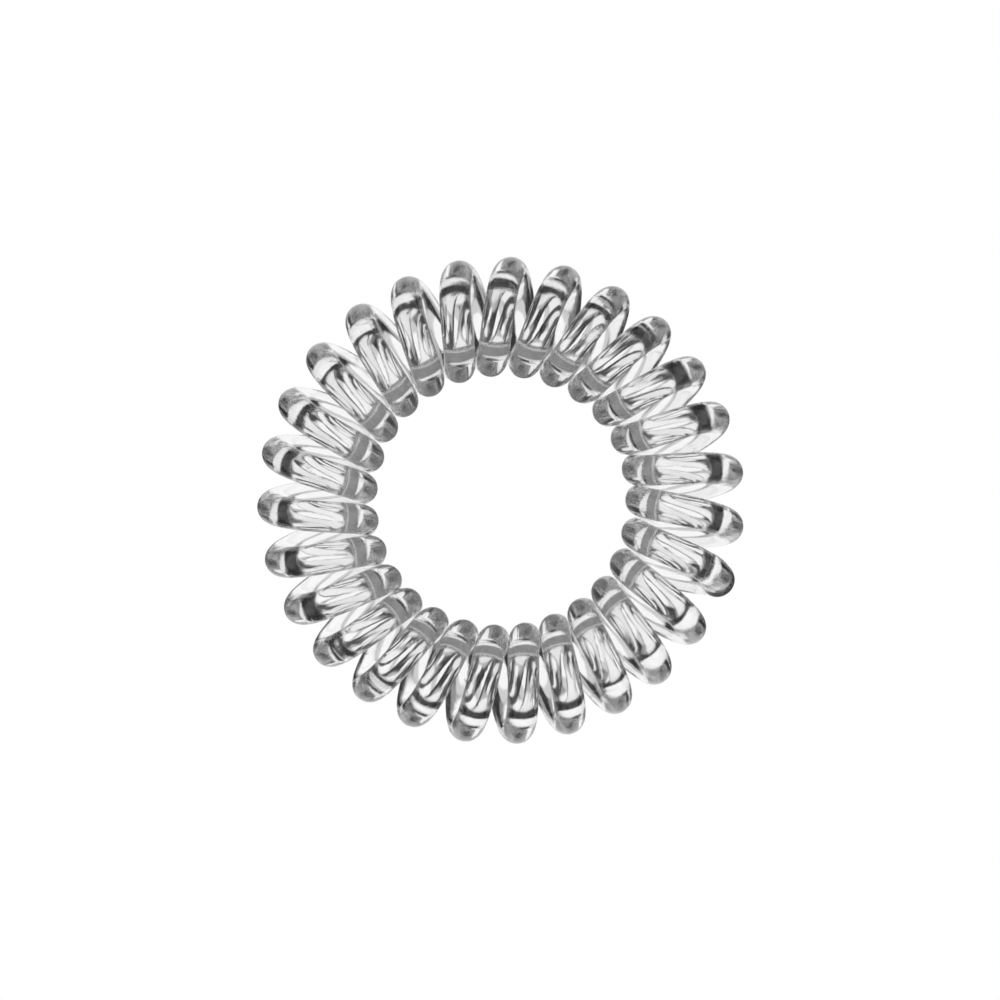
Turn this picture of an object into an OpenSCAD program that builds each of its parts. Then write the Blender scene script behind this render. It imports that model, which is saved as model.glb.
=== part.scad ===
// Spiral hair tie: one clear elastic strand wound on a mandrel, bent round and welded into a closed ring.
// The ring lies flat. Its axis is +Z, and the origin is where that axis meets the surface it lies on.

/* [Strand] */
// Diameter of the strand
strand_d = 2.5; // [1.8:0.1:3.2]

/* [Coil] */
// Diameter of the mandrel that the strand is wound on, which is the clear width inside a turn
mandrel_d = 4.6; // [3.5:0.1:8]
// Turns in the whole ring
turns = 27; // [20:1:34]
// Clear gap between neighbouring turns, where they lie closest at the ring's bore
turn_gap = 0.08; // [0.05:0.01:0.6]
// Direction in which the tip of turn 0 points, from +X towards +Y
first_tip_deg = 87.5; // [0:0.5:360]

/* [Weld] */
// The turn whose outer tip carries the weld
weld_turn = 8; // [1:1:18]
// Length of strand, on each side of the weld line, that the weld has thickened
weld_reach = 1.3; // [0.8:0.1:2]
// How far the weld stands proud of the strand on the ring's outside
weld_proud = 0.3; // [0.05:0.05:0.5]

/* [Hidden] */

// Sides of the strand's section, and about how many sections go round the whole ring
strand_sides = 10;
ring_sections = 540;

// Radius of the circle that the strand's middle follows in each turn
wind_r = (mandrel_d + strand_d) / 2;
// The turns lean, so their spacing along the bore is a little more than the strand and its gap
bore_pitch = (strand_d + turn_gap) / sqrt(1 - pow((strand_d + turn_gap) / (2 * PI * wind_r), 2));
// Radius from the ring's axis to the middle of a turn
ring_r = turns * bore_pitch / (2 * PI) + wind_r;
// Height of the middle of the turns, so that they rest on Z = 0
mid_z = wind_r + strand_d / 2;

// The weld, from above its line to below it: place as a share of weld_reach, swelling as a share of weld_proud
weld_rows = [
    // along, swell
    [-1.00, 0.00],
    [-0.62, 0.06],
    [-0.30, 0.20],
    [-0.08, 0.42],
    [ 0.06, 0.96],
    [ 0.24, 1.00],
    [ 0.46, 0.72],
    [ 0.70, 0.28],
    [ 1.00, 0.00]
];

// Turns of winding that one weld_reach of strand takes up
weld_span = weld_reach / (2 * PI * wind_r);

// How far the regular sections keep clear of the weld line, as a share of weld_span
weld_clear = 1.15;

// A multiple of four, so that every turn has a section at its lowest point, where it rests
sections_per_turn = 4 * floor(ring_sections / turns / 4);
regular_count = turns * sections_per_turn;

// Each station is [turns wound so far, swelling in mm]. The weld's own stations take the place of the regular ones.
regular = [for (i = [0 : regular_count - 1]) [i / sections_per_turn, 0]];
before_weld = [for (s = regular) if (s[0] < weld_turn - weld_clear * weld_span) s];
at_weld = [for (row = weld_rows) [weld_turn + row[0] * weld_span, row[1] * weld_proud]];
after_weld = [for (s = regular) if (s[0] > weld_turn + weld_clear * weld_span) s];
stations = concat(before_weld, at_weld, after_weld);

function unit(v) = v / norm(v);

// Turned from the ring's outside, over its underside and bore, back over its top
function wind_deg(wound) = -360 * wound;
function ring_deg(wound) = first_tip_deg - 360 * wound / turns;

// Direction from the middle of a turn to its strand
function outward(wound) =
    let (a = wind_deg(wound), b = ring_deg(wound))
    [cos(a) * cos(b), cos(a) * sin(b), sin(a)];

// Point on the strand's middle line
function centre(wound) =
    let (b = ring_deg(wound))
    [ring_r * cos(b), ring_r * sin(b), mid_z] + wind_r * outward(wound);

// Direction of the strand's middle line
function heading(wound) =
    let (
        a = wind_deg(wound),
        b = ring_deg(wound),
        winding = wind_r * [sin(a) * cos(b), sin(a) * sin(b), -cos(a)],
        circling = (ring_r + wind_r * cos(a)) / turns * [sin(b), -cos(b), 0]
    )
    unit(winding + circling);

// One round section of the strand. Where it is swollen, it grows outwards only.
function section(station) =
    let (
        out = outward(station[0]),
        side = cross(heading(station[0]), out),
        middle = centre(station[0]) + station[1] / 2 * out,
        r = (strand_d + station[1]) / 2
    )
    [for (k = [0 : strand_sides - 1])
        let (a = 360 * k / strand_sides)
        middle + r * (cos(a) * out + sin(a) * side)];

// Skin of a closed tube through rings of equally many points, as triangles
function tube_faces(rings, sides) = [
    for (i = [0 : rings - 1], k = [0 : sides - 1])
        let (
            a = i * sides + k,
            b = i * sides + (k + 1) % sides,
            c = (i + 1) % rings * sides + (k + 1) % sides,
            d = (i + 1) % rings * sides + k
        )
        each [[a, b, c], [a, c, d]]
];

// The whole strand, with its two ends welded together, as one solid
module coil()
    color("gainsboro", 0.45)
    polyhedron(
        points = [for (s = stations) each section(s)],
        faces = tube_faces(len(stations), strand_sides),
        convexity = 10
    );

coil();
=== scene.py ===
"""Looks of a spiral hair tie: one clear strand wound as a coil, bent round and welded into a closed ring.

Lengths are in metres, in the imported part's frame: the ring lies flat on Z = 0, and its axis is the Z axis.
"""

import logging
import math
from dataclasses import dataclass, field
from enum import Enum
from typing import Optional, Union

import bpy
import numpy as np
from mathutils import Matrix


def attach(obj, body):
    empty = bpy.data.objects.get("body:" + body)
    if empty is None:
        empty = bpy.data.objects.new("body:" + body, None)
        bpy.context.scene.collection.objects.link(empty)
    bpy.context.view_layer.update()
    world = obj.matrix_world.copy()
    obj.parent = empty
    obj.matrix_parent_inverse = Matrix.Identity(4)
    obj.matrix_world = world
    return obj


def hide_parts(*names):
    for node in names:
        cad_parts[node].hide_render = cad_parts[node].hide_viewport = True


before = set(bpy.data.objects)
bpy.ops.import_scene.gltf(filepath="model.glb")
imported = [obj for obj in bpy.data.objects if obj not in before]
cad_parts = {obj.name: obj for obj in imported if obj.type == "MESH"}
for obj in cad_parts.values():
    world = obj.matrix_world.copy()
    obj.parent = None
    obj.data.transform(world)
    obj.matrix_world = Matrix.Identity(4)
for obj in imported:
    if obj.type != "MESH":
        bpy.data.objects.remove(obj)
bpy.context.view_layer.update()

MM = 0.001
STRAND_PLACE = "strand_place"
Feed = Union[bpy.types.NodeSocket, float, tuple[float, ...]]
log = logging.getLogger("hair_tie")


def radial(deg: np.ndarray) -> np.ndarray:
    """Unit vectors in the ring's plane.

    Args:
        deg: Directions in degrees, from +X towards +Y.

    Returns:
        One row of X, Y, Z for each direction.
    """
    a = np.radians(deg)
    return np.stack([np.cos(a), np.sin(a), np.zeros_like(a)], axis=-1)


def unit(rows: np.ndarray) -> np.ndarray:
    """Rows of vectors scaled to length 1.

    Args:
        rows: One vector a row.

    Returns:
        The same rows, each of length 1.
    """
    return rows / np.linalg.norm(rows, axis=-1, keepdims=True)


def add_object(name: str, data: Union[bpy.types.Mesh, bpy.types.Camera]) -> bpy.types.Object:
    """Puts a mesh or a lens into the scene.

    Args:
        name: Its name there.
        data: The mesh or the lens.

    Returns:
        The object that has it.
    """
    added = bpy.data.objects.new(name, data)
    bpy.context.scene.collection.objects.link(added)
    return added


def flat_square(name: str, half_size: float) -> bpy.types.Object:
    """Makes a level square about the origin.

    Args:
        name: Its name.
        half_size: Half of its side.

    Returns:
        The square's object.
    """
    r = half_size
    mesh = bpy.data.meshes.new(name)
    mesh.from_pydata([(-r, -r, 0), (r, -r, 0), (r, r, 0), (-r, r, 0)], [], [(0, 1, 2, 3)])
    return add_object(name, mesh)


class Maths(Enum):
    """What a math node does with its numbers."""

    ADD = "ADD"
    MULTIPLY = "MULTIPLY"
    POWER = "POWER"
    SIZE = "ABSOLUTE"
    LARGER = "MAXIMUM"
    IS_ABOVE = "GREATER_THAN"


class VectorMaths(Enum):
    """What a vector math node does with its vectors."""

    SUBTRACT = "SUBTRACT"
    MULTIPLY = "MULTIPLY"
    DIVIDE = "DIVIDE"
    SIZES = "ABSOLUTE"


@dataclass(frozen=True)
class Wiring:
    """Adds nodes to the tree of one material or world, and joins them up."""

    tree: bpy.types.NodeTree

    def feed(self, socket: bpy.types.NodeSocket, feed: Feed) -> None:
        """Links an input to another node's output, or sets it.

        Args:
            socket: The input.
            feed: The output, number or vector that it gets.
        """
        if isinstance(feed, bpy.types.NodeSocket):
            self.tree.links.new(feed, socket)
        else:
            socket.default_value = feed

    def add(self, kind: str, feeds: Optional[dict[Union[int, str], Feed]] = None) -> bpy.types.Node:
        """Adds a node.

        Args:
            kind: Blender's name for this kind of node.
            feeds: What its inputs get, by their names or numbers.

        Returns:
            The node.
        """
        node = self.tree.nodes.new(kind)
        for key, feed in (feeds or {}).items():
            self.feed(node.inputs[key], feed)
        return node

    def maths(self, way: Maths, *feeds: Feed) -> bpy.types.NodeSocket:
        """Works a number out.

        Args:
            way: What is done with the numbers.
            feeds: The numbers, in order.

        Returns:
            The output with the result.
        """
        node = self.add("ShaderNodeMath", dict(enumerate(feeds)))
        node.operation = way.value
        return node.outputs[0]

    def vectors(self, way: VectorMaths, *feeds: Feed) -> bpy.types.NodeSocket:
        """Works a vector out.

        Args:
            way: What is done with the vectors.
            feeds: The vectors, in order.

        Returns:
            The output with the result.
        """
        node = self.add("ShaderNodeVectorMath", dict(enumerate(feeds)))
        node.operation = way.value
        return node.outputs["Vector"]

    def stretch(self, feed: Feed, low: float, high: float, top: float = 1.0) -> bpy.types.NodeSocket:
        """Spreads the numbers from low to high evenly over 0 to top, and holds those beyond at the ends.

        Args:
            feed: The number.
            low: What becomes 0.
            high: What becomes top.
            top: The end of the new numbers.

        Returns:
            The output with the result.
        """
        feeds = {"Value": feed, "From Min": low, "From Max": high, "To Max": top}
        return self.add("ShaderNodeMapRange", feeds).outputs["Result"]

    def ease(self, feed: Feed, low: float, high: float, top: float) -> bpy.types.NodeSocket:
        """Does what stretch does, but levels off towards both ends.

        Args:
            feed: The number.
            low: What becomes 0.
            high: What becomes top.
            top: The end of the new numbers.

        Returns:
            The output with the result.
        """
        eased = self.stretch(feed, low, high, top)
        eased.node.interpolation_type = "SMOOTHSTEP"
        return eased


@dataclass(frozen=True)
class Creep:
    """How far one turn has crept round the ring from even spacing, in degrees."""

    tip: float
    bore: float


# The turns of the photographed ring, from turn 0 on, at their outer tips and at their bore half a turn on
CREEPS = (
    Creep(tip=0.0, bore=-0.4),
    Creep(tip=-0.2, bore=-0.4),
    Creep(tip=-0.3, bore=-0.4),
    Creep(tip=0.0, bore=-0.8),
    Creep(tip=-0.2, bore=-1.2),
    Creep(tip=0.1, bore=-1.2),
    Creep(tip=-0.5, bore=-0.7),
    Creep(tip=-0.7, bore=-1.2),
    Creep(tip=-0.4, bore=-1.3),
    Creep(tip=-1.5, bore=-1.6),
    Creep(tip=-1.6, bore=-1.5),
    Creep(tip=-0.8, bore=-1.3),
    Creep(tip=-0.5, bore=-0.8),
    Creep(tip=-0.2, bore=-0.4),
    Creep(tip=0.2, bore=0.0),
    Creep(tip=0.0, bore=0.0),
    Creep(tip=0.3, bore=0.0),
    Creep(tip=0.2, bore=0.6),
    Creep(tip=0.5, bore=0.5),
    Creep(tip=0.8, bore=0.8),
    Creep(tip=0.7, bore=0.8),
    Creep(tip=0.5, bore=0.8),
    Creep(tip=0.8, bore=0.6),
    Creep(tip=0.7, bore=0.6),
    Creep(tip=0.0, bore=0.4),
    Creep(tip=-0.2, bore=0.0),
    Creep(tip=-0.3, bore=0.0),
)


@dataclass(frozen=True)
class Winding:
    """The way that the strand takes: a left-hand coil, bent round into a ring.

    A place along it is a number of turns wound, from the outer tip of turn 0. Its heading is measured over
    small_step turns, to either side.
    """

    turns: int = 27
    strand: float = 2.5 * MM
    mandrel: float = 4.6 * MM
    gap: float = 0.08 * MM
    first_tip_deg: float = 87.5
    small_step: float = 1e-5
    creeps: tuple[Creep, ...] = CREEPS

    @property
    def wind_r(self) -> float:
        """Radius of the circle that the strand's middle follows in each turn."""
        return (self.mandrel + self.strand) / 2

    @property
    def ring_r(self) -> float:
        """Radius from the ring's axis to the middle of a turn."""
        step = self.strand + self.gap
        bore_pitch = step / math.sqrt(1 - (step / (math.tau * self.wind_r)) ** 2)
        return self.turns * bore_pitch / math.tau + self.wind_r

    @property
    def turn_length(self) -> float:
        """Length of the strand's middle line in one turn, without its lean."""
        return math.tau * self.wind_r

    @property
    def middle(self) -> float:
        """Height of the middle of the turns, which lie on Z = 0."""
        return self.wind_r + self.strand / 2

    def ring_deg(self, wound: np.ndarray) -> np.ndarray:
        """Directions from the ring's axis to places on the strand.

        Args:
            wound: Places along the strand.

        Returns:
            Degrees from +X towards +Y.
        """
        # A tip and a bore take turns every half turn, and the strand eases from each one to the next
        halves = np.array([(c.tip, c.bore) for c in self.creeps]).ravel()
        first = np.floor(2 * wound).astype(int)
        along = 2 * wound - first
        blend = along * along * (3 - 2 * along)
        crept = halves[first % len(halves)] * (1 - blend) + halves[(first + 1) % len(halves)] * blend
        return self.first_tip_deg - 360 * wound / self.turns + crept

    def outward(self, wound: np.ndarray) -> np.ndarray:
        """Directions from the middle of a turn to its strand.

        Args:
            wound: Places along the strand.

        Returns:
            One unit vector a place.
        """
        a = -math.tau * wound
        out = radial(self.ring_deg(wound)) * np.cos(a)[:, None]
        out[:, 2] = np.sin(a)
        return out

    def centre(self, wound: np.ndarray) -> np.ndarray:
        """Points on the strand's middle line.

        Args:
            wound: Places along the strand.

        Returns:
            One point a place.
        """
        turn_middle = self.ring_r * radial(self.ring_deg(wound))
        turn_middle[:, 2] = self.middle
        return turn_middle + self.wind_r * self.outward(wound)

    def heading(self, wound: np.ndarray) -> np.ndarray:
        """Directions of the strand's middle line.

        Args:
            wound: Places along the strand.

        Returns:
            One unit vector a place.
        """
        return unit(self.centre(wound + self.small_step) - self.centre(wound - self.small_step))


@dataclass(frozen=True)
class WeldRow:
    """One place along the weld: shares of its reach from the weld line, and of its swelling."""

    along: float
    swell: float


@dataclass(frozen=True)
class Weld:
    """The place where the strand's two ends are melted together, as a collar.

    It is thickest lean_deg round the strand from the outside of the turn. Its seam wavers in two sets of
    waves round the strand, and broad_share is the share of the broad ones.
    """

    turn: int = 8
    reach: float = 1.9 * MM
    proud: float = 0.36 * MM
    lean_deg: float = 42.0
    waver: float = 0.09 * MM
    broad_waves: int = 3
    fine_waves: int = 8
    broad_share: float = 0.6
    row_step: float = 0.05 * MM
    rows: tuple[WeldRow, ...] = (
        WeldRow(along=-1.00, swell=0.00),
        WeldRow(along=-0.50, swell=0.02),
        WeldRow(along=-0.12, swell=0.08),
        WeldRow(along=0.00, swell=0.14),
        WeldRow(along=0.05, swell=0.94),
        WeldRow(along=0.12, swell=1.00),
        WeldRow(along=0.40, swell=0.80),
        WeldRow(along=0.70, swell=0.34),
        WeldRow(along=1.00, swell=0.00),
    )

    def swelling(self, past: np.ndarray, round_deg: np.ndarray) -> np.ndarray:
        """How far the collar stands off the plain strand.

        Args:
            past: Distances past the weld line, along the strand.
            round_deg: Directions round the strand, from the outside of the turn.

        Returns:
            One row for each distance, with one value for each direction.
        """
        a = np.radians(round_deg - self.lean_deg)
        broad = self.broad_share * np.sin(self.broad_waves * a)
        fine = (1 - self.broad_share) * np.sin(self.fine_waves * a)
        seam = self.waver * (broad + fine)
        share = np.interp(
            (past[:, None] - seam[None, :]) / self.reach,
            [row.along for row in self.rows],
            [row.swell for row in self.rows],
        )
        # All of it on the thickest side, and none of it on the side across from that
        lean = (0.5 + 0.5 * np.cos(a))[None, :]
        return self.proud * share * lean


@dataclass(frozen=True)
class Flute:
    """One set of shallow waves that the die has drawn along the strand.

    Slant is how far the waves turn round the strand, in degrees for each millimetre along it.
    """

    waves: int
    depth: float
    start_deg: float
    slant: float


@dataclass(frozen=True)
class DieMarks:
    """How far the strand's section is from a true circle."""

    flutes: tuple[Flute, ...] = (
        Flute(waves=2, depth=0.00480 * MM, start_deg=20.0, slant=0.5),
        Flute(waves=3, depth=0.00320 * MM, start_deg=75.0, slant=-0.7),
        Flute(waves=5, depth=0.00200 * MM, start_deg=10.0, slant=0.9),
        Flute(waves=7, depth=0.00064 * MM, start_deg=33.0, slant=-0.4),
    )

    def height(self, past: np.ndarray, round_deg: np.ndarray) -> np.ndarray:
        """How far the skin stands off the true circle.

        Args:
            past: Distances past the weld line, along the strand.
            round_deg: Directions round the strand, from the outside of the turn.

        Returns:
            One row for each distance, with one value for each direction.
        """
        total = np.zeros((len(past), len(round_deg)))
        for flute in self.flutes:
            turned = round_deg[None, :] - flute.start_deg - flute.slant * past[:, None] / MM
            total += flute.depth * np.cos(np.radians(flute.waves * turned))
        return total


@dataclass(frozen=True)
class Relief:
    """One fine relief of the skin: a noise drawn out along the strand.

    It is finely_round times as fine as the strand's half thickness and finely_along times as fine as a
    millimetre, and it is flat below its low and above its high value.
    """

    name: str
    finely_round: float
    finely_along: float
    depth: float
    low: float = 0.0
    high: float = 1.0


@dataclass(frozen=True)
class ClearPlastic:
    """Clear, slightly soft plastic, drawn through a die that has left fine lines along the strand."""

    tint: tuple[float, float, float] = (0.995, 0.995, 0.995)
    ior: float = 1.53
    roughness: float = 0.09
    reliefs: tuple[Relief, ...] = (
        Relief(name="ripples", finely_round=1.6, finely_along=0.35, depth=0.022 * MM),
        Relief(name="die_lines", finely_round=7.0, finely_along=0.08, depth=0.003 * MM, low=0.45, high=0.75),
        Relief(name="scratches", finely_round=9.0, finely_along=0.12, depth=0.010 * MM, low=0.66, high=0.80),
    )

    def make(self) -> bpy.types.Material:
        """Makes the material.

        Returns:
            The material, with its nodes.
        """
        material = bpy.data.materials.new("clear_plastic")
        material.use_nodes = True
        wiring = Wiring(material.node_tree)
        shader = material.node_tree.nodes["Principled BSDF"]
        shader.inputs["Base Color"].default_value = (*self.tint, 1)
        shader.inputs["Transmission Weight"].default_value = 1.0
        shader.inputs["IOR"].default_value = self.ior
        shader.inputs["Roughness"].default_value = self.roughness
        place = wiring.add("ShaderNodeAttribute")
        place.attribute_name = STRAND_PLACE
        over = shader
        for relief in reversed(self.reliefs):
            bump = self.add_relief(wiring, place.outputs["Vector"], relief)
            wiring.feed(over.inputs["Normal"], bump.outputs["Normal"])
            over = bump
        return material

    def add_relief(self, wiring: Wiring, place: bpy.types.NodeSocket, relief: Relief) -> bpy.types.Node:
        """Adds one relief to the material.

        Args:
            wiring: The wiring of the material.
            place: The output that gives places on the strand.
            relief: The relief.

        Returns:
            The bump node, of which both normals are free to be linked.
        """
        fineness = (relief.finely_round, relief.finely_round, relief.finely_along)
        stretched = wiring.vectors(VectorMaths.MULTIPLY, place, fineness)
        noise = wiring.add("ShaderNodeTexNoise", {"Vector": stretched, "Scale": 1.0, "Detail": 1.0})
        heights = wiring.stretch(noise.outputs["Fac"], relief.low, relief.high)
        bump = wiring.add("ShaderNodeBump", {"Height": heights, "Strength": 1.0, "Distance": relief.depth})
        bump.name = relief.name
        return bump


@dataclass(frozen=True)
class Coil:
    """The whole strand, with its two ends welded together, as one skin."""

    winding: Winding = field(default_factory=Winding)
    weld: Weld = field(default_factory=Weld)
    marks: DieMarks = field(default_factory=DieMarks)
    plastic: ClearPlastic = field(default_factory=ClearPlastic)
    sides: int = 56
    sections_per_turn: int = 62

    @property
    def round_deg(self) -> np.ndarray:
        """Directions of the skin's points round the strand, from the outside of the turn."""
        return np.arange(self.sides) * 360 / self.sides

    def stations(self) -> np.ndarray:
        """Places of the strand's sections, which lie closer together at the weld.

        Returns:
            Places along the strand, in turns.
        """
        way = self.winding
        wound = np.arange(way.turns * self.sections_per_turn) / self.sections_per_turn
        reach = self.weld.reach / way.turn_length
        away = abs(wound - self.weld.turn) > reach
        rows = 2 * math.ceil(self.weld.reach / self.weld.row_step) + 1
        fine = self.weld.turn + np.linspace(-reach, reach, rows)
        return np.sort(np.concatenate([wound[away], fine]))

    def past_weld(self, wound: np.ndarray) -> np.ndarray:
        """Distances past the weld line, which are below zero before it.

        Args:
            wound: Places along the strand.

        Returns:
            Distances along the strand.
        """
        return (wound - self.weld.turn) * self.winding.turn_length

    def drawn(self, wound: np.ndarray) -> np.ndarray:
        """Distances from the strand's first end, which is welded to its last one.

        Args:
            wound: Places along the strand.

        Returns:
            Distances along the strand.
        """
        return self.past_weld(wound) % (self.winding.turns * self.winding.turn_length)

    def points(self, wound: np.ndarray) -> np.ndarray:
        """Points of the skin.

        Args:
            wound: Places of the sections.

        Returns:
            One row of points for each section.
        """
        way = self.winding
        swelling = self.weld.swelling(self.past_weld(wound), self.round_deg)
        radius = way.strand / 2 + swelling + self.marks.height(self.drawn(wound), self.round_deg)
        out = way.outward(wound)
        side = np.cross(way.heading(wound), out)
        a = np.radians(self.round_deg)[None, :, None]
        spoke = np.cos(a) * out[:, None, :] + np.sin(a) * side[:, None, :]
        return way.centre(wound)[:, None, :] + radius[:, :, None] * spoke

    def faces(self, sections: int) -> np.ndarray:
        """Faces of the skin, which closes both round the strand and round the ring.

        Args:
            sections: How many sections the strand has.

        Returns:
            The numbers of four points for each face.
        """
        i, k = np.meshgrid(np.arange(sections), np.arange(self.sides), indexing="ij")
        here = i * self.sides
        there = (i + 1) % sections * self.sides
        beside = (k + 1) % self.sides
        return np.stack([here + k, here + beside, there + beside, there + k], axis=-1).reshape(-1, 4)

    def places(self, wound: np.ndarray) -> np.ndarray:
        """Places on the skin for its reliefs: a direction round the strand, and millimetres along it.

        Args:
            wound: Places of the sections.

        Returns:
            One row of places for each section.
        """
        a = np.radians(self.round_deg)
        places = np.empty((len(wound), self.sides, 3))
        places[..., 0] = np.cos(a)
        places[..., 1] = np.sin(a)
        places[..., 2] = (self.drawn(wound) / MM)[:, None]
        return places

    def build(self) -> bpy.types.Object:
        """Makes the strand's mesh.

        Returns:
            The object, in the scene's collection.
        """
        wound = self.stations()
        mesh = bpy.data.meshes.new("clear_coil")
        mesh.from_pydata(self.points(wound).reshape(-1, 3).tolist(), [], self.faces(len(wound)).tolist())
        mesh.update()
        mesh.polygons.foreach_set("use_smooth", [True] * len(mesh.polygons))
        attribute = mesh.attributes.new(STRAND_PLACE, "FLOAT_VECTOR", "POINT")
        attribute.data.foreach_set("vector", self.places(wound).ravel())
        return add_object("clear_coil", mesh)

    def dress(self, piece: bpy.types.Object) -> None:
        """Gives the strand its finish, and fixes it to the root body of the frame.

        Args:
            piece: The strand's object.
        """
        piece.data.materials.append(self.plastic.make())
        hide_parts("coil")
        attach(piece, "root")


@dataclass(frozen=True)
class WhiteGlow:
    """An evenly white finish without shine."""

    glow: float = 1.0

    def make(self) -> bpy.types.Material:
        """Makes the material.

        Returns:
            The material, with its nodes.
        """
        material = bpy.data.materials.new("white_sheet")
        material.use_nodes = True
        shader = material.node_tree.nodes["Principled BSDF"]
        shader.inputs["Base Color"].default_value = (0, 0, 0, 1)
        shader.inputs["Specular IOR Level"].default_value = 0.0
        shader.inputs["Emission Color"].default_value = (1, 1, 1, 1)
        shader.inputs["Emission Strength"].default_value = self.glow
        return material


@dataclass(frozen=True)
class Sheet:
    """The white sheet that the ring lies on, which the eye sees and the clear plastic does not."""

    half_size: float = 1.5
    finish: WhiteGlow = field(default_factory=WhiteGlow)

    def build(self) -> bpy.types.Object:
        """Makes the sheet.

        Returns:
            The sheet's object.
        """
        sheet = flat_square("white_sheet", self.half_size)
        sheet.data.materials.append(self.finish.make())
        sheet.visible_transmission = False
        sheet.visible_glossy = False
        sheet.visible_shadow = False
        return sheet


def lamp_material(name: str) -> bpy.types.Material:
    """Makes a material for what glows but isn't aimed at as a lamp, still without a shader.

    Args:
        name: Its name.

    Returns:
        The material, with an output node alone.
    """
    material = bpy.data.materials.new(name)
    material.use_nodes = True
    material.node_tree.nodes.remove(material.node_tree.nodes["Principled BSDF"])
    material.cycles.emission_sampling = "NONE"
    return material


@dataclass(frozen=True)
class Pool:
    """A pool of light: rounded, evenly bright in its middle, and fading at its edge.

    Its edge fades over the share fade of its half size, to either side. A squareness of 2 makes an ellipse,
    and more comes nearer to a rectangle. It is turned from +X towards +Y.
    """

    middle: tuple[float, float]
    half_width: float
    half_depth: float
    glow: float
    fade: float = 0.12
    squareness: float = 3.0
    turned_deg: float = 0.0


# North and south of the ring, which lighten the turns at its sides
WIDE_POOLS = (
    Pool(middle=(0, 108 * MM), half_width=140 * MM, half_depth=64 * MM, glow=0.9, squareness=2.6),
    Pool(middle=(-20 * MM, 180 * MM), half_width=90 * MM, half_depth=105 * MM, glow=0.9, fade=0.2),
    Pool(middle=(-25 * MM, -160 * MM), half_width=185 * MM, half_depth=116 * MM, glow=1.0),
)

# Aslant and farther off, which lighten the turns between
SLANTING_POOLS = (
    Pool(
        middle=(-125 * MM, 300 * MM), half_width=215 * MM, half_depth=100 * MM,
        glow=0.95, fade=0.2, turned_deg=118.0,
    ),
    Pool(
        middle=(140 * MM, -330 * MM), half_width=225 * MM, half_depth=105 * MM,
        glow=1.0, fade=0.2, turned_deg=118.0,
    ),
    Pool(
        middle=(-270 * MM, -190 * MM), half_width=160 * MM, half_depth=70 * MM,
        glow=0.7, fade=0.3, turned_deg=36.0,
    ),
    Pool(
        middle=(175 * MM, 175 * MM), half_width=120 * MM, half_depth=50 * MM,
        glow=0.9, fade=0.3, turned_deg=45.0,
    ),
)

# Straight below the ring, which lighten the middle of every strand
MIDDLE_POOLS = (
    Pool(middle=(0, 0), half_width=62 * MM, half_depth=27 * MM, glow=1.0, squareness=2.4, turned_deg=16.0),
    Pool(middle=(0, 0), half_width=55 * MM, half_depth=46 * MM, glow=0.65),
)

# Dim ones to the east and west, which put grey streaks into the turns at the top and bottom of the picture
SIDE_POOLS = (
    Pool(middle=(88 * MM, 40 * MM), half_width=48 * MM, half_depth=16 * MM, glow=0.5, fade=0.3),
    Pool(middle=(-88 * MM, -40 * MM), half_width=48 * MM, half_depth=16 * MM, glow=0.5, fade=0.3),
    Pool(middle=(88 * MM, -40 * MM), half_width=48 * MM, half_depth=16 * MM, glow=0.3, fade=0.3),
    Pool(middle=(-88 * MM, 42 * MM), half_width=48 * MM, half_depth=14 * MM, glow=0.2, fade=0.3),
    Pool(middle=(150 * MM, 85 * MM), half_width=34 * MM, half_depth=50 * MM, glow=0.35, fade=0.3),
    Pool(middle=(-135 * MM, -40 * MM), half_width=32 * MM, half_depth=36 * MM, glow=0.45, fade=0.3),
)


@dataclass(frozen=True)
class PooledLight:
    """A dark finish with pools of light, of which the brightest one shows at each place."""

    dark: float = 0.02
    pools: tuple[Pool, ...] = (*WIDE_POOLS, *SLANTING_POOLS, *MIDDLE_POOLS, *SIDE_POOLS)

    def glow_of(self, wiring: Wiring, place: bpy.types.NodeSocket, pool: Pool) -> bpy.types.NodeSocket:
        """Adds one pool of light.

        Args:
            wiring: The wiring of the material.
            place: The output that gives places on the table.
            pool: The pool.

        Returns:
            The output that gives how bright the pool is at each place.
        """
        shifted = wiring.vectors(VectorMaths.SUBTRACT, place, (*pool.middle, 0))
        angle = -math.radians(pool.turned_deg)
        turned = wiring.add("ShaderNodeVectorRotate", {"Vector": shifted, "Angle": angle})
        turned.rotation_type = "Z_AXIS"
        half_sizes = (pool.half_width, pool.half_depth, 1)
        shares = wiring.vectors(VectorMaths.DIVIDE, turned.outputs["Vector"], half_sizes)
        split = wiring.add("ShaderNodeSeparateXYZ", {0: wiring.vectors(VectorMaths.SIZES, shares)})
        # How far away a place is from the pool's middle, where 1 is the middle of its fading edge
        raised = [wiring.maths(Maths.POWER, split.outputs[axis], pool.squareness) for axis in "XY"]
        away = wiring.maths(Maths.POWER, wiring.maths(Maths.ADD, *raised), 1 / pool.squareness)
        return wiring.ease(away, 1 + pool.fade, 1 - pool.fade, pool.glow)

    def make(self) -> bpy.types.Material:
        """Makes the material.

        Returns:
            The material, with its nodes.
        """
        material = lamp_material("light_table")
        wiring = Wiring(material.node_tree)
        place = wiring.add("ShaderNodeTexCoord").outputs["Object"]
        brightest = self.dark
        for pool in self.pools:
            brightest = wiring.maths(Maths.LARGER, self.glow_of(wiring, place, pool), brightest)
        shine = wiring.add("ShaderNodeEmission", {"Strength": brightest})
        wiring.feed(material.node_tree.nodes["Material Output"].inputs["Surface"], shine.outputs["Emission"])
        return material


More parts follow.
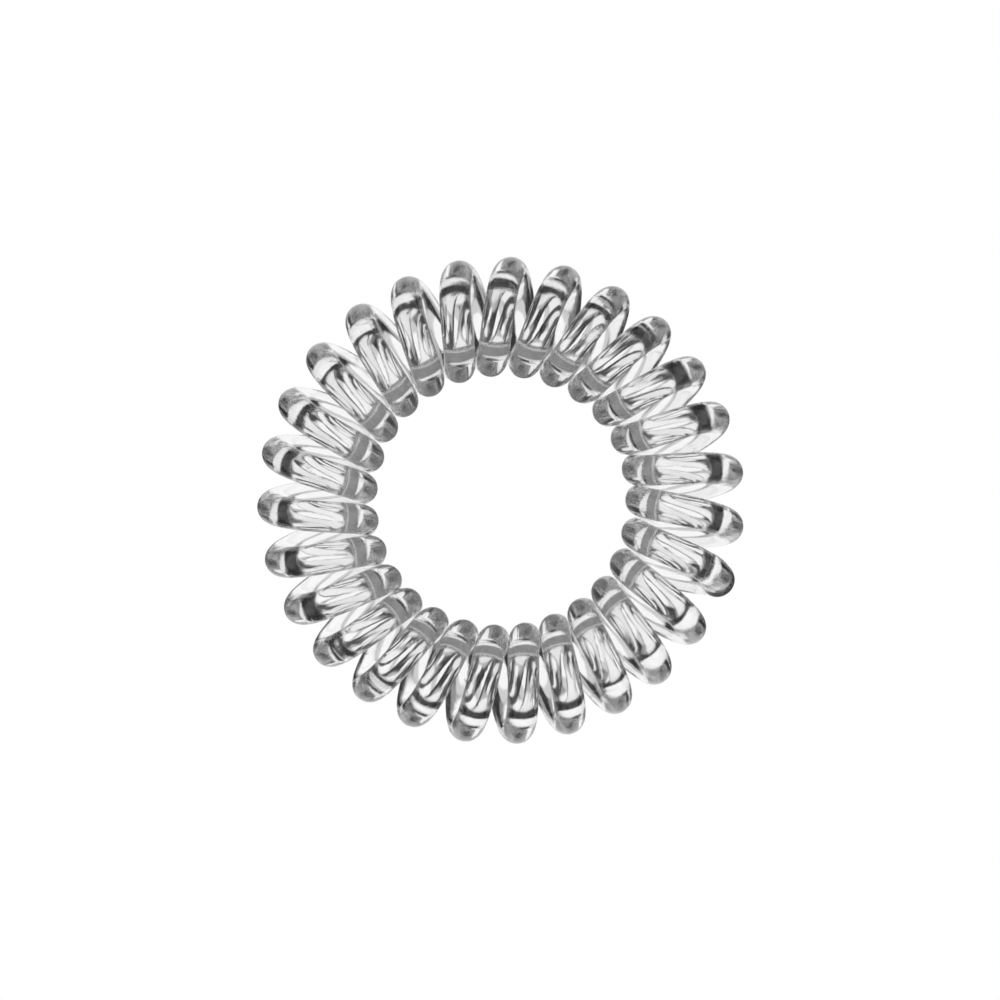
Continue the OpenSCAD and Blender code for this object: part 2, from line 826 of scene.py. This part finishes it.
@dataclass(frozen=True)
class LightTable:
    """The lights under the ring: one large dark table with pools of light, seen only in the clear plastic."""

    height: float = -200 * MM
    half_size: float = 1.2
    finish: PooledLight = field(default_factory=PooledLight)

    def build(self) -> bpy.types.Object:
        """Makes the light table.

        Returns:
            The table's object.
        """
        table = flat_square("light_table", self.half_size)
        table.location = (0, 0, self.height)
        table.data.materials.append(self.finish.make())
        table.visible_camera = False
        table.visible_shadow = False
        return table


@dataclass(frozen=True)
class OneSidedGlow:
    """A finish that is evenly bright in front, and not there from behind."""

    name: str
    glow: float

    def make(self) -> bpy.types.Material:
        """Makes the material.

        Returns:
            The material, with its nodes.
        """
        material = lamp_material(self.name)
        wiring = Wiring(material.node_tree)
        behind = wiring.add("ShaderNodeNewGeometry").outputs["Backfacing"]
        shine = wiring.add("ShaderNodeEmission", {"Strength": self.glow}).outputs["Emission"]
        clear = wiring.add("ShaderNodeBsdfTransparent").outputs["BSDF"]
        chosen = wiring.add("ShaderNodeMixShader", {0: behind, 1: shine, 2: clear}).outputs["Shader"]
        wiring.feed(material.node_tree.nodes["Material Output"].inputs["Surface"], chosen)
        return material


@dataclass(frozen=True)
class Dish:
    """A dish in the ring's bore that glows dim grey as painted shade, with a rim that glows brighter as
    painted light, seen only in the clear plastic.
    """

    middle: tuple[float, float] = (-0.8 * MM, 0.5 * MM)
    radius: float = 9.0 * MM
    height: float = 0.2 * MM
    rim: float = 1.5 * MM
    sides: int = 48
    # Painted shade: the bottom glows dim grey. Painted light: the rim glows brighter.
    bottom_painted_shade: OneSidedGlow = OneSidedGlow(name="painted_shade_dish", glow=0.23)
    rim_painted_light: OneSidedGlow = OneSidedGlow(name="painted_light_rim", glow=0.6)

    def build(self) -> bpy.types.Object:
        """Makes the dish.

        Returns:
            The dish's object.
        """
        n = self.sides
        low = self.radius * radial(np.arange(n) * 360 / n) + np.array([*self.middle, self.height])
        high = low + np.array([0, 0, self.rim])
        walls = [(n + k, n + (k + 1) % n, (k + 1) % n, k) for k in range(n)]
        mesh = bpy.data.meshes.new("painted_shade_dish")
        mesh.from_pydata(np.concatenate([low, high]).tolist(), [], [tuple(range(n)), *walls])
        mesh.materials.append(self.bottom_painted_shade.make())
        mesh.materials.append(self.rim_painted_light.make())
        # The first face is the bottom, with the painted shade, and the others are the rim, with the painted
        # light
        mesh.polygons.foreach_set("material_index", [0] + [1] * len(walls))
        dish = add_object("painted_shade_dish", mesh)
        dish.visible_camera = False
        dish.visible_shadow = False
        return dish


@dataclass(frozen=True)
class Room:
    """The room: white to the eye, and for the light dark below the horizon, dim above it and darker overhead.

    The light from beside comes from the left and the right. Places in the room are parts of a direction of
    length 1: rise is its part upwards, and aside its part to the left or the right.
    """

    white: float = 1.0
    low: float = 0.04
    pale: float = 0.26
    overhead: float = 0.06
    beside: float = 0.40
    horizon_rise: float = 0.002
    pale_rise: float = 0.76
    overhead_rise: float = 0.88
    beside_rise: float = 0.1
    aside_from: float = 0.60
    aside_full: float = 0.80

    def by_rise(self, wiring: Wiring, rise: bpy.types.NodeSocket) -> bpy.types.NodeSocket:
        """Adds the greys of the room from straight below to overhead.

        Args:
            wiring: The wiring of the world.
            rise: The output that gives the rise.

        Returns:
            The output that gives the grey.
        """
        ramp = wiring.add("ShaderNodeValToRGB", {"Fac": wiring.stretch(rise, -1, 1)})
        stops = (
            (-1, self.low),
            (-self.horizon_rise, self.low),
            (self.horizon_rise, self.pale),
            (self.pale_rise, self.pale),
            (self.overhead_rise, self.overhead),
        )
        # A ramp begins with two stops. New ones start in its middle, and each then gets its own place.
        elements = ramp.color_ramp.elements
        while len(elements) < len(stops):
            elements.new(0.5)
        for element, (at, grey) in zip(elements, stops):
            element.position = (1 + at) / 2
            element.color = (grey, grey, grey, 1)
        return ramp.outputs["Color"]

    def build(self) -> None:
        """Makes the room."""
        world = bpy.data.worlds.new("room")
        bpy.context.scene.world = world
        world.use_nodes = True
        wiring = Wiring(world.node_tree)
        direction = wiring.add("ShaderNodeTexCoord").outputs["Generated"]
        split = wiring.add("ShaderNodeSeparateXYZ", {0: direction})
        aside = wiring.maths(Maths.SIZE, split.outputs["X"])
        beside = wiring.ease(aside, self.aside_from, self.aside_full, self.beside)
        above = wiring.maths(Maths.IS_ABOVE, split.outputs["Z"], self.beside_rise)
        upper = wiring.maths(Maths.MULTIPLY, beside, above)
        grey = wiring.maths(Maths.ADD, self.by_rise(wiring, split.outputs["Z"]), upper)
        to_eye = wiring.add("ShaderNodeLightPath").outputs["Is Camera Ray"]
        choose = wiring.add("ShaderNodeMix", {"Factor": to_eye})
        choose.data_type = "RGBA"
        # The node has a set of inputs and an output of the same names for each type of data
        colours = [socket for socket in choose.inputs if socket.type == "RGBA"]
        wiring.feed(colours[0], grey)
        wiring.feed(colours[1], (self.white, self.white, self.white, 1))
        chosen = [socket for socket in choose.outputs if socket.type == "RGBA"][0]
        wiring.feed(world.node_tree.nodes["Background"].inputs["Color"], chosen)


@dataclass(frozen=True)
class Camera:
    """The camera, straight above the ring.

    The photograph's frame is picture_pixels wide and high, and the ring's middle lies pixels_right and
    pixels_down of its middle. The sensor's width alone is in millimetres, as Blender takes it.
    """

    above_turns: float = 700 * MM
    frame_width: float = 80 * MM
    sensor_mm: float = 36.0
    picture_pixels: int = 1000
    pixels_right: float = 1.0
    pixels_down: float = 0.5

    def build(self, turn_middle: float) -> bpy.types.Object:
        """Makes the scene's camera.

        Args:
            turn_middle: Height of the middle of the turns.

        Returns:
            The camera's object.
        """
        lens = bpy.data.cameras.new("camera")
        lens.sensor_width = self.sensor_mm
        lens.lens = self.sensor_mm * self.above_turns / self.frame_width
        lens.shift_x = -self.pixels_right / self.picture_pixels
        lens.shift_y = self.pixels_down / self.picture_pixels
        eye = add_object("camera", lens)
        eye.location = (0, 0, turn_middle + self.above_turns)
        bpy.context.scene.camera = eye
        return eye


@dataclass(frozen=True)
class Studio:
    """The white sheet that the ring lies on, the lights round it and the camera over it."""

    sheet: Sheet = field(default_factory=Sheet)
    table: LightTable = field(default_factory=LightTable)
    dish: Dish = field(default_factory=Dish)
    room: Room = field(default_factory=Room)
    camera: Camera = field(default_factory=Camera)

    def build(self, turn_middle: float) -> list[bpy.types.Object]:
        """Sets up the sheet, the lights, the room and the camera.

        Args:
            turn_middle: Height of the middle of the turns.

        Returns:
            The objects that aren't part of the hair tie.
        """
        props = [self.sheet.build(), self.table.build(), self.dish.build()]
        self.room.build()
        self.camera.build(turn_middle)
        return props


@dataclass(frozen=True)
class LightPaths:
    """How light is followed: through as many turns of clear plastic as lie in its way, in true colours."""

    bounces: int = 40

    def apply(self) -> None:
        """Sets the scene so."""
        scene = bpy.context.scene
        scene.view_settings.view_transform = "Standard"
        scene.cycles.max_bounces = self.bounces
        scene.cycles.transmission_bounces = self.bounces
        scene.cycles.glossy_bounces = self.bounces
        scene.cycles.caustics_reflective = True
        scene.cycles.caustics_refractive = True


def report(piece: bpy.types.Object) -> None:
    """Logs a piece's name and how many faces it has."""
    log.info("%s: %d faces", piece.name, len(piece.data.polygons))


def main() -> None:
    """Builds the hair tie and the studio."""
    logging.basicConfig(level=logging.INFO, format="%(name)s: %(message)s")
    coil = Coil()
    strand = coil.build()
    coil.dress(strand)
    report(strand)
    for prop in Studio().build(coil.winding.middle):
        report(prop)
    LightPaths().apply()


if __name__ == "__main__":
    main()
